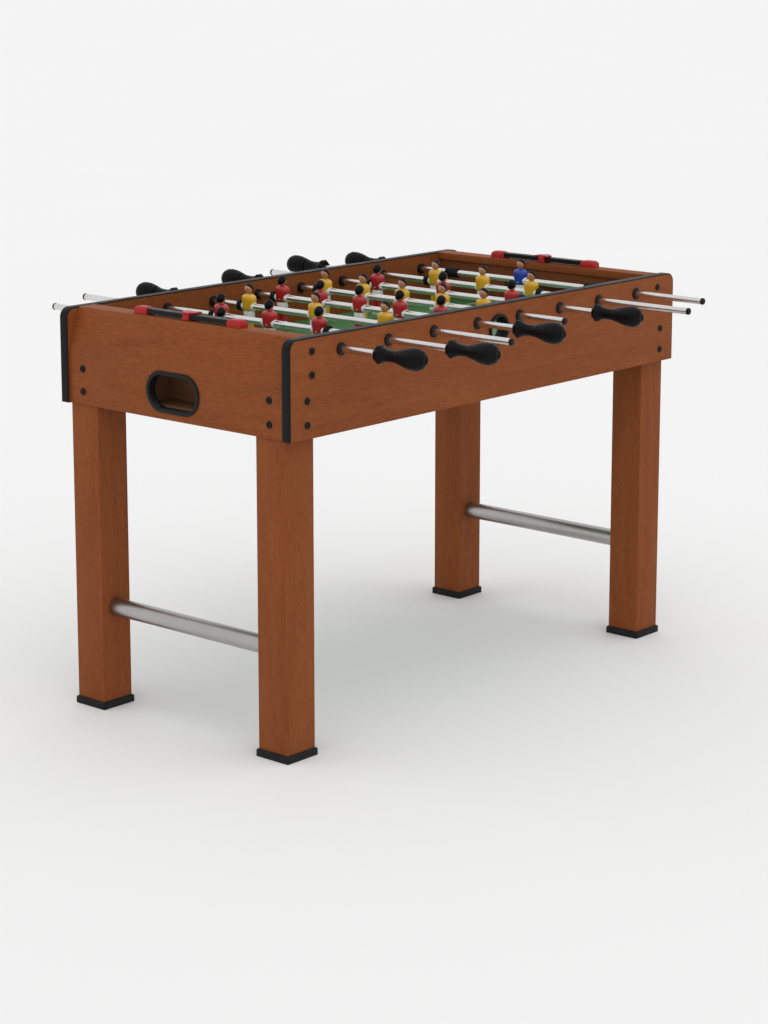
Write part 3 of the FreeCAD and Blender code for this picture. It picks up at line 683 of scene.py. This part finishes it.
# ---- players -------------------------------------------------------------------------------------
@dataclass
class Player:
    """One player about the rod's axis, facing +X, in metres."""

    head_z: float = 35.0 * MM
    leg_y: float = 5.5

    def shirt(self) -> bpy.types.Mesh:
        """Shirt: a barrel with round shoulders, drawn in round the neck."""
        bm = bmesh.new()
        rows = ((-10.6, 6.6, 10.6, 2.6), (-9.6, 7.6, 11.8, 2.7), (-4.5, 8.8, 13.8, 2.7),
                (1.0, 9.6, 15.4, 2.6), (7.0, 10.0, 16.4, 2.6), (13.0, 10.2, 16.9, 2.6),
                (17.4, 10.0, 16.8, 2.6), (20.6, 9.3, 15.6, 2.4), (22.8, 8.0, 12.6, 2.2),
                (24.0, 6.6, 9.0, 2.0), (24.6, 5.5, 6.4, 2.0), (25.6, 5.0, 5.4, 2.0), (25.2, 4.0, 4.4, 2.0))
        skin_rings(bm, [oval(z * MM, rx * MM, ry * MM, p, count=32) for z, rx, ry, p in rows])
        return finish_mesh(bm, "shirt", 50.0)

    def kit(self) -> bpy.types.Mesh:
        """White parts: arms that come down round the rod, hubs, shorts and boots."""
        bm = bmesh.new()
        hub = ((11.0, 8.4), (14.6, 8.4), (16.0, 8.1), (16.8, 7.5), (17.0, 6.9), (17.0, 6.6), (11.0, 6.6))
        path = ((0.4, 15.0, 7.5, 0.8), (0.8, 15.2, 5.0, 1.6), (1.0, 15.1, 1.0, 1.8), (1.2, 14.6, -3.0, 1.8),
                (1.2, 13.7, -6.0, 1.6), (1.0, 12.6, -8.2, 0.9))
        for side in (-1, 1):
            turn_profile(bm, [(side * y * MM, r * MM) for y, r in hub], 28)
            skin_rings(bm, [oval(z * MM, (r + 2.6) * MM, r * MM, 2.2, x * MM, side * y * MM, 16)
                            for x, y, z, r in reversed(path)])
        rows = ((-25.5, 7.0, 12.0, 3.4), (-25.0, 7.6, 12.7, 3.4), (-22.0, 7.7, 12.8, 3.2),
                (-15.0, 7.4, 12.4, 3.0), (-9.5, 7.1, 12.0, 2.8), (-8.0, 6.4, 11.2, 2.6))
        skin_rings(bm, [oval(z * MM, rx * MM, ry * MM, p, count=32) for z, rx, ry, p in rows])
        boot = ((-63.5, 7.4, 4.6, 4.0, 0.8), (-62.9, 8.5, 5.3, 4.0, 0.9), (-60.0, 8.9, 5.4, 3.6, 0.9),
                (-56.5, 7.8, 5.2, 3.2, 0.4), (-52.5, 6.4, 4.9, 2.8, 0.0), (-50.0, 5.8, 4.6, 2.6, -0.1),
                (-49.2, 4.9, 3.9, 2.4, -0.1))
        for side in (-1, 1):
            skin_rings(bm, [oval(z * MM, rx * MM, ry * MM, p, cx * MM, side * self.leg_y * MM, 24)
                            for z, rx, ry, p, cx in boot])
        return finish_mesh(bm, "kit", 50.0)

    def socks(self) -> bpy.types.Mesh:
        """Two legs in socks, side by side, with a turned top."""
        bm = bmesh.new()
        rows = ((-51.0, 4.9, 4.2, 2.4), (-47.0, 5.0, 4.4, 2.5), (-41.0, 5.6, 4.8, 2.5),
                (-35.0, 6.1, 5.1, 2.5), (-30.0, 6.2, 5.2, 2.5), (-29.6, 6.5, 5.4, 2.5),
                (-26.0, 6.6, 5.5, 2.5), (-24.0, 6.4, 5.3, 2.5))
        for side in (-1, 1):
            skin_rings(bm, [oval(z * MM, rx * MM, ry * MM, p, 0.0, side * self.leg_y * MM, 24)
                            for z, rx, ry, p in rows])
        return finish_mesh(bm, "socks", 50.0)

    def head(self) -> bpy.types.Mesh:
        """Head and neck with a plain moulded face."""
        bm = bmesh.new()
        bmesh.ops.create_uvsphere(bm, u_segments=32, v_segments=22, radius=1.0)
        for v in bm.verts:
            x, y, z = v.co
            taper = 1.0 - 0.20 * max(0.0, -z) ** 1.4
            jaw = 0.9 * max(0.0, -z - 0.25) * max(0.0, x)
            nose = 2.6 * math.exp(-((y / 0.13) ** 2) - ((z + 0.10) / 0.17) ** 2) * (x > 0)
            brow = 0.35 * math.exp(-((z - 0.22) / 0.10) ** 2) * max(0.0, x)
            socket = -0.7 * math.exp(-(((abs(y) - 0.33) / 0.17) ** 2) - ((z - 0.05) / 0.12) ** 2) * (x > 0)
            lips = 0.6 * math.exp(-((y / 0.26) ** 2) - ((z + 0.44) / 0.07) ** 2) * (x > 0)
            out = (x * 8.8 * taper + jaw + nose + brow + socket + lips) * MM
            v.co = (out + 0.3 * MM, y * 9.0 * taper * MM, self.head_z + z * 10.9 * MM)
        for side in (-1, 1):
            ears = bmesh.ops.create_uvsphere(bm, u_segments=12, v_segments=8, radius=1.0)
            for v in ears["verts"]:
                v.co = (v.co.x * 1.5 * MM - 0.6 * MM, (side * 8.7 + v.co.y * 0.9) * MM,
                        self.head_z + (v.co.z * 2.4 - 0.8) * MM)
        neck = [oval(z * MM, r * MM, r * MM, 2.0, -0.4 * MM, 0.0, 20)
                for z, r in ((20.0, 4.8), (24.0, 4.5), (27.0, 4.5), (30.0, 5.0))]
        skin_rings(bm, neck)
        return finish_mesh(bm, "head", 70.0)

    def eyes(self) -> bpy.types.Mesh:
        """Two small painted eyes and brows."""
        bm = bmesh.new()
        eye = (8, (7.75, 2.9, 0.5), (0.8, 1.1, 0.8))
        brow = (6, (7.95, 3.0, 2.7), (0.7, 1.9, 0.45))
        for side in (-1, 1):
            for belts, (x, y, z), (rx, ry, rz) in (eye, brow):
                ball = bmesh.ops.create_uvsphere(bm, u_segments=12, v_segments=belts, radius=1.0)
                for v in ball["verts"]:
                    v.co = (x * MM + v.co.x * rx * MM, (side * y + v.co.y * ry) * MM,
                            self.head_z + (z + v.co.z * rz) * MM)
        return finish_mesh(bm, "eyes", 80.0)

    def hair(self) -> bpy.types.Mesh:
        """Moulded hair: a thick shell cut by a plane from the forehead to the nape."""
        bm = bmesh.new()
        bmesh.ops.create_uvsphere(bm, u_segments=36, v_segments=24, radius=1.0)
        for v in bm.verts:
            x, y, z = v.co
            wave = 1.0 + 0.012 * math.sin(14.0 * math.atan2(y, x)) * max(0.0, z)
            v.co = ((x * 9.7 - 0.4) * wave * MM, y * 9.9 * wave * MM, self.head_z + z * 11.4 * wave * MM)
        cut = bmesh.ops.bisect_plane(bm, geom=bm.verts[:] + bm.edges[:] + bm.faces[:], dist=1e-6,
                                     plane_co=(5.8 * MM, 0, self.head_z + 6.0 * MM),
                                     plane_no=Vector((-0.72, 0, 0.69)), clear_inner=True)
        rim = [e for e in cut["geom_cut"] if isinstance(e, bmesh.types.BMEdge)]
        bmesh.ops.contextual_create(bm, geom=rim)
        return finish_mesh(bm, "hair", 40.0)

    def screw(self) -> bpy.types.Mesh:
        """Dished screw head low on the back, and a smaller one in front."""
        bm = bmesh.new()
        profile = [(-0.6, 2.1), (0.5, 2.1), (0.8, 1.8), (0.9, 1.2), (0.7, 0.7), (0.3, 0.4)]
        for place, way, grow in ((-9.0, -1.0, 1.0), (8.9, 1.0, 0.85)):
            before = set(bm.verts)
            turn_profile(bm, [(y * MM * way, r * MM * grow) for y, r in profile], 20)
            new = [v for v in bm.verts if v not in before]
            turn_verts(bm, new, -90, "Z")
            bmesh.ops.translate(bm, verts=new, vec=(place * MM, 0, -3.5 * MM))
        return finish_mesh(bm, "screw", 50.0)


@dataclass
class Rod:
    """One rod: its tube, players, grip, end plug and loose rings."""

    finishes: Finishes
    number: int
    team: Team
    side: int
    men: int
    ring_length: float
    ring_ribs: int
    grip_length: float = 113.0 * MM
    grip_radius: float = 21.0 * MM
    collar_radius: float = 18.5 * MM
    neck_radius: float = 11.0 * MM
    plug_length: float = 6.0 * MM
    plug_radius: float = 7.0 * MM
    hub_half: float = 17.0 * MM
    wall: float = 1.8 * MM
    ring_bore: float = 6.7 * MM
    axis: tuple[float, float] = field(init=False, default=(0.0, 0.0))

    @property
    def body(self) -> str:
        """The body that the rod's own pieces ride on."""
        return f"rod_{self.number}"

    def build(self, repeater: Repeater, player: Player) -> None:
        """Build the rod's pieces.

        Args:
            repeater: Sets players out on the rod.
            player: The player to repeat.
        """
        low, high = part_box(self.body + "_tube")
        self.axis = ((low.x + high.x) / 2, (low.z + high.z) / 2)
        self.tube()
        self.players(repeater, player)
        self.grip()
        self.plug()
        self.rings()

    def tube(self) -> None:
        """The steel tube from the grip to the plug."""
        low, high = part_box(self.body + "_tube")
        r = (high.z - low.z) / 2
        bm = bmesh.new()
        turn_profile(bm, [(low.y, r - self.wall), (low.y, r), (high.y, r), (high.y, r - self.wall)], 56)
        settle(self.placed(bm, self.body + "_shaft", self.finishes.rod), self.body, "rod_steel",
               self.body + "_tube")

    def placed(self, bm: bmesh.types.BMesh, name: str, material: bpy.types.Material,
               sharp: float = 35.0) -> bpy.types.Object:
        """Move what was built about the Y axis onto the rod and add it."""
        bmesh.ops.translate(bm, verts=bm.verts, vec=(self.axis[0], 0, self.axis[1]))
        return add_object(name, finish_mesh(bm, name, sharp), material)

    def players(self, repeater: Repeater, player: Player) -> None:
        """Set the players out evenly between the rings."""
        f = self.finishes
        low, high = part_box(self.body + "_players")
        first, last = low.y + self.hub_half, high.y - self.hub_half
        step = (last - first) / max(self.men - 1, 1)
        places = [(self.axis[0], first + step * k, self.axis[1]) for k in range(self.men)]
        ways = [(-float(self.side), 0.0, 0.0)] * self.men
        shirt = f.shirts[self.team]
        parts = (("shirts", player.shirt(), shirt), ("kit", player.kit(), f.kit_white),
                 ("socks", player.socks(), shirt), ("heads", player.head(), f.skin),
                 ("eyes", player.eyes(), f.hair), ("hair", player.hair(), f.hair),
                 ("screws", player.screw(), f.screw))
        for label, mesh, material in parts:
            piece = repeater.set_out(f"{self.body}_{label}", places, ways, mesh, material)
            settle(piece, self.body, "player_" + self.team.value, self.body + "_players")

    def grip_profile(self) -> list[tuple[float, float]]:
        """(distance from the inner end, radius) points of the grip."""
        collar, neck, bulb = self.collar_radius / MM, self.neck_radius / MM, self.grip_radius / MM
        points = [(0.0, collar - 6.0), (0.0, collar - 3.6), (1.0, collar - 2.4), (4.0, collar - 0.6),
                  (6.2, collar), (8.0, collar - 0.2), (10.6, collar - 2.6), (15.0, neck + 3.0),
                  (19.5, neck + 1.3), (25.0, neck + 0.4), (32.0, neck)]
        start, rib_pitch, rib_depth = 40.0, 8.6, 2.3
        last = self.grip_length / MM
        widest = start + (last - start) * 0.68

        def hull(s: float) -> float:
            """Radius of the bulb before its ribs are cut."""
            if s <= widest:
                return neck + (bulb - neck) * math.sin(math.pi / 2 * (s - start) / (widest - start)) ** 1.5
            t = (s - widest) / (last - widest)
            return bulb * max(0.0, 1.0 - t ** 2.4) ** 0.5

        points += [(s, hull(s)) for s in (start + (widest - start) * t for t in (0.1, 0.2, 0.3))]
        first_rib = start + (widest - start) * 0.36
        s = first_rib
        while s < last - 0.6:
            phase = ((s - first_rib) % rib_pitch) / rib_pitch
            land = max(0.0, math.sin(math.pi * phase)) ** 0.28
            points.append((s, hull(s) - rib_depth * (1.0 - land)))
            s += 0.45 if last - s < 9.0 or phase < 0.16 or phase > 0.80 else 1.1
        points += [(last - 0.3, hull(last - 0.6) - 0.6), (last, 7.6), (last - 0.8, 6.8), (last - 0.8, 1.0)]
        return points

    def grip(self) -> None:
        """Hand grip at one end of the rod."""
        low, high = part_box(self.body + "_grip")
        tip = high.y if self.side > 0 else low.y
        start = tip - self.side * self.grip_length
        collar_end = 17.0 * MM

        def eight_sided(y: float, a: float) -> float:
            """Flats on the collar that die away into the neck."""
            s = abs(y - start)
            share = max(0.0, min(1.0, (collar_end - s) / (collar_end * 0.5)))
            off = (a + math.pi / 8) % (math.pi / 4) - math.pi / 8
            return 1.0 + share * (math.cos(math.pi / 8) / math.cos(off) - 1.0)

        bm = bmesh.new()
        profile = [(start + self.side * s * MM, r * MM) for s, r in self.grip_profile()]
        turn_profile(bm, profile, 64, eight_sided)
        settle(self.placed(bm, self.body + "_hand_grip", self.finishes.grip, 28.0), self.body, "grip_black",
               self.body + "_grip")

    def plug(self) -> None:
        """Domed plug in the bare end of the rod."""
        low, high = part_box(self.body + "_grip")
        bare = low.y if self.side > 0 else high.y
        bm = bmesh.new()
        r, out = self.plug_radius, -self.side
        inner = bare - out * self.plug_length
        dome, round_off, steps = 2.6 * MM, 5.0 * MM, 6
        profile = [(inner, round_off), (inner, r - 0.3 * MM), (inner + out * 0.4 * MM, r)]
        for k in range(steps + 1):
            a = math.pi / 2 * k / steps
            profile.append((inner + out * (self.plug_length - dome + dome * math.sin(a)),
                            (r - round_off) + round_off * math.cos(a)))
        profile.append((bare, 0.6 * MM))
        turn_profile(bm, profile, 36)
        settle(self.placed(bm, self.body + "_end_plug", self.finishes.plastic), self.body, "grip_black",
               self.body + "_grip")

    def rings(self) -> None:
        """The loose rings on both sides of the players."""
        low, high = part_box(self.body + "_stops")
        outer = (high.z - low.z) / 2
        width = self.ring_length / self.ring_ribs
        edge = ((0.02, 3.0), (0.9, 1.6), (1.5, 0.5), (2.6, 0.0))
        bm = bmesh.new()
        for end in (low.y, high.y - self.ring_length):
            profile = [(end, self.ring_bore)]
            for k in range(self.ring_ribs):
                y = end + k * width
                profile += [(y + s * MM, outer - d * MM) for s, d in edge]
                profile += [(y + width - s * MM, outer - d * MM) for s, d in reversed(edge)]
            profile.append((end + self.ring_length, self.ring_bore))
            turn_profile(bm, profile, 40)
        loose = self.body + "_stops"
        settle(self.placed(bm, self.body + "_stop_rings", self.finishes.ring), loose, "bumper_black", loose)


@dataclass
class Bushings:
    """Flanged bushings in both side panels, one pair for each rod."""

    finishes: Finishes
    flange: float = 12.0 * MM
    nut: float = 11.0 * MM
    nut_length: float = 7.0 * MM
    bore: float = 6.6 * MM

    def mesh(self, length: float, fluted: bool) -> bpy.types.Mesh:
        """One flange about its face, nose along +Z.

        Args:
            length: How far it stands off the panel.
            fluted: True for the inner nut, which has shallow hollows round it.

        Returns:
            The flange's mesh.
        """
        bm = bmesh.new()
        r = self.nut if fluted else self.flange
        profile = [(-0.3 * MM, self.bore), (-0.3 * MM, r), (length - 1.4 * MM, r),
                   (length - 0.5 * MM, r - 0.4 * MM), (length, r - 1.4 * MM),
                   (length, self.bore + 1.2 * MM), (length - 0.6 * MM, self.bore)]

        def flutes(y: float, a: float) -> float:
            """Twelve shallow hollows round the nut."""
            return 1.0 - (0.03 * (0.5 + 0.5 * math.cos(12 * a)) if fluted else 0.0)

        turn_profile(bm, profile, 48, flutes)
        turn_verts(bm, bm.verts, 90, "X")
        return finish_mesh(bm, "flange", 30.0)

    def build(self, rods: Iterable[Rod]) -> None:
        """Set the flanges out on both sides of both panels."""
        repeater = Repeater("flanges_on_panels", Aim.NOSE_Z)
        low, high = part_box("rear_side_panel")
        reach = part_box("rod_bushings")[1].y - high.y
        lines = [rod.axis for rod in rods]
        for label, y, way, length, nut in (("outer", high.y, 1, reach, False),
                                           ("inner", low.y, -1, self.nut_length, True)):
            places = [(x, side * y, z) for x, z in lines for side in (-1, 1)]
            ways = [(0, side * way, 0) for _ in lines for side in (-1, 1)]
            piece = repeater.set_out("bushing_flanges_" + label, places, ways, self.mesh(length, nut),
                                     self.finishes.plastic)
            settle(piece, "table", "black_plastic", "rod_bushings")


# ---- studio --------------------------------------------------------------------------------------
@dataclass
class Studio:
    """Floor, surroundings, one wide soft light and the camera."""

    floor_colour: Colour = (0.88, 0.88, 0.88)
    air: float = 0.88
    sky: float = 0.55
    sky_spread: float = 75.0
    sky_way: Point = (0.25, 0.45, -1.0)
    floor_half: float = 150.0
    eye: Point = (-3.80062, -3.33165, 1.52973)
    heading: float = 0.85221
    dip: float = 0.19177
    lens: float = 87.622
    shift: float = -0.1

    def build(self) -> None:
        """Build the studio."""
        bpy.context.scene.view_settings.view_transform = "Standard"
        self.floor()
        self.world()
        self.sky_light()
        self.camera()

    def floor(self) -> None:
        """Wide pale floor."""
        mesh = bpy.data.meshes.new("floor")
        half = self.floor_half
        mesh.from_pydata([(-half, -half, 0), (half, -half, 0), (half, half, 0), (-half, half, 0)], [],
                         [(0, 1, 2, 3)])
        b = Bench("floor_paper")
        cloud = b.noise(b.place, 0.8, 3.0)
        c = self.floor_colour
        b.set(Base_Color=b.ramp(cloud, ((0.3, tuple(v * 0.99 for v in c)), (0.7, c))), Roughness=0.9)
        add_object("floor", mesh, b.material)

    def world(self) -> None:
        """Even pale surroundings."""
        world = bpy.data.worlds.new("studio")
        bpy.context.scene.world = world
        world.use_nodes = True
        back = world.node_tree.nodes["Background"]
        back.inputs[0].default_value = (1.0, 1.0, 1.0, 1.0)
        back.inputs[1].default_value = self.air

    def sky_light(self) -> None:
        """Wide soft light from above, coming from the front left."""
        data = bpy.data.lights.new("sky_light", "SUN")
        data.angle = math.radians(self.sky_spread)
        data.energy = self.sky
        lamp = bpy.data.objects.new("sky_light", data)
        bpy.context.scene.collection.objects.link(lamp)
        lamp.rotation_mode = "QUATERNION"
        lamp.rotation_quaternion = Vector(self.sky_way).to_track_quat("-Z", "Y")

    def camera(self) -> None:
        """Camera at the reference viewing angle."""
        data = bpy.data.cameras.new("camera")
        data.sensor_fit = "AUTO"
        data.sensor_width = 36.0
        data.lens = self.lens
        data.shift_y = self.shift
        data.clip_start, data.clip_end = 0.1, 200.0
        made = bpy.data.objects.new("camera", data)
        bpy.context.scene.collection.objects.link(made)
        made.location = self.eye
        made.rotation_mode = "XYZ"
        made.rotation_euler = (math.pi / 2 - self.dip, 0.0, -self.heading)
        bpy.context.scene.camera = made


@dataclass
class Table:
    """The whole table and its studio."""

    finishes: Finishes = field(default_factory=Finishes)

    def rods(self) -> list[Rod]:
        """The eight rods from the left goal to the right."""
        keeper, loose = (33.0 * MM, 4), (11.0 * MM, 1)
        plan = ((Team.KEEPER, -1, 1, keeper), (Team.RED, -1, 3, loose), (Team.YELLOW, 1, 3, loose),
                (Team.RED, -1, 5, loose), (Team.YELLOW, 1, 5, loose), (Team.RED, -1, 3, loose),
                (Team.YELLOW, 1, 3, loose), (Team.KEEPER, 1, 1, keeper))
        return [Rod(self.finishes, k + 1, team, side, men, *ring)
                for k, (team, side, men, ring) in enumerate(plan)]

    def build(self) -> None:
        """Build every sub-assembly in order."""
        Cabinet(self.finishes).build()
        Stand(self.finishes).build()
        repeater, player, rods = Repeater("players_on_rod", Aim.NOSE_X), Player(), self.rods()
        for rod in rods:
            rod.build(repeater, player)
        Bushings(self.finishes).build(rods)
        Studio().build()


def main() -> None:
    """Build the table and report it."""
    logging.basicConfig(level=logging.INFO, format="%(message)s")
    Table().build()


if __name__ == "__main__":
    main()
